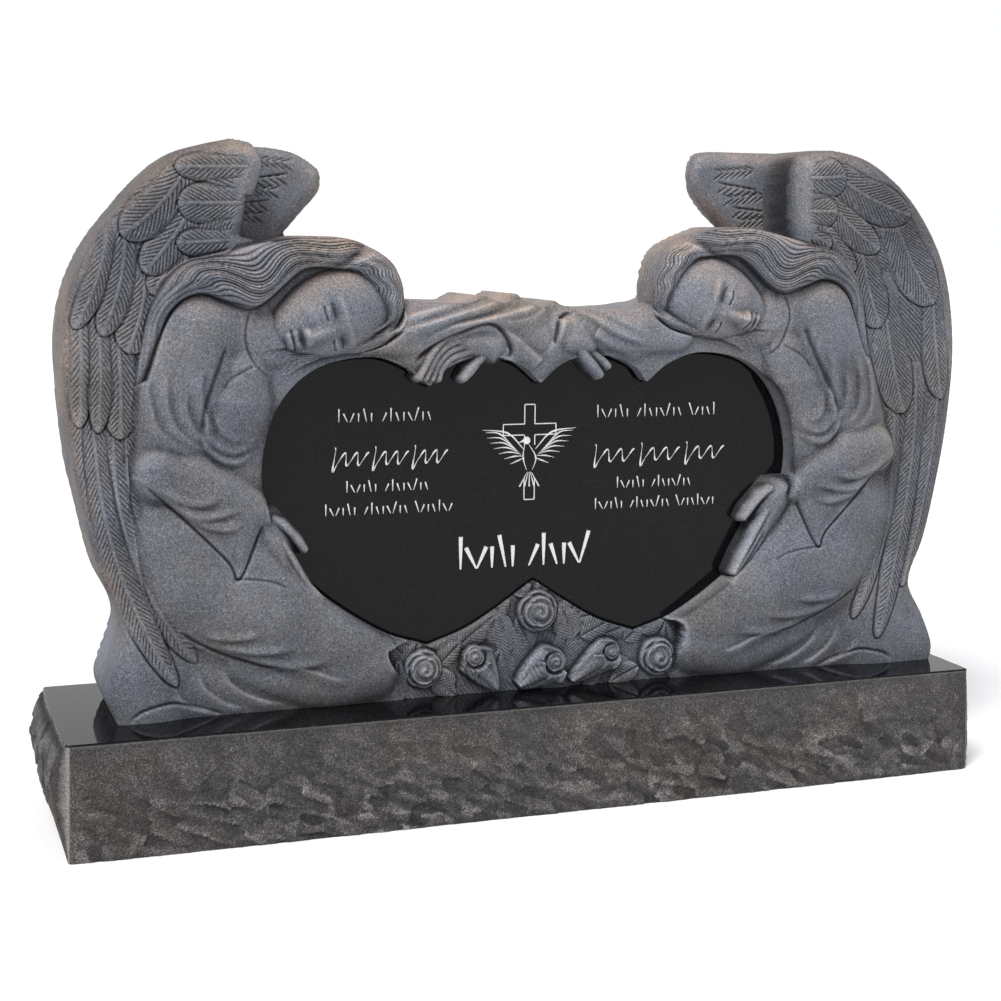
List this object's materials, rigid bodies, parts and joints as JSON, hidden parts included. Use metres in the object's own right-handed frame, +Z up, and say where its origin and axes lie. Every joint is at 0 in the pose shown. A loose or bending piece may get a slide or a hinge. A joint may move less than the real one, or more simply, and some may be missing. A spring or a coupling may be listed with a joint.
{
  "type": "granite gravestone",
  "caption": "Upright granite gravestone: winged angels lean over joined hearts with roses below, on a low rock-pitched base.",
  "frame": {"origin": "on the ground, under the middle of the base", "axes": "+X along the base to the right as seen from the front, -Y out of the carved front, +Z up"},
  "size_m": [1.8507, 0.4302, 1.2491],
  "materials": {
    "carved_granite": "steeled, unpolished, fine grained blue-grey",
    "polished_granite": "polished black",
    "rock_granite": "rock-pitched, rough"
  },
  "bodies": {
    "root": {"tablet": "carved_granite", "base": "rock_granite"}
  },
  "joints": []
}
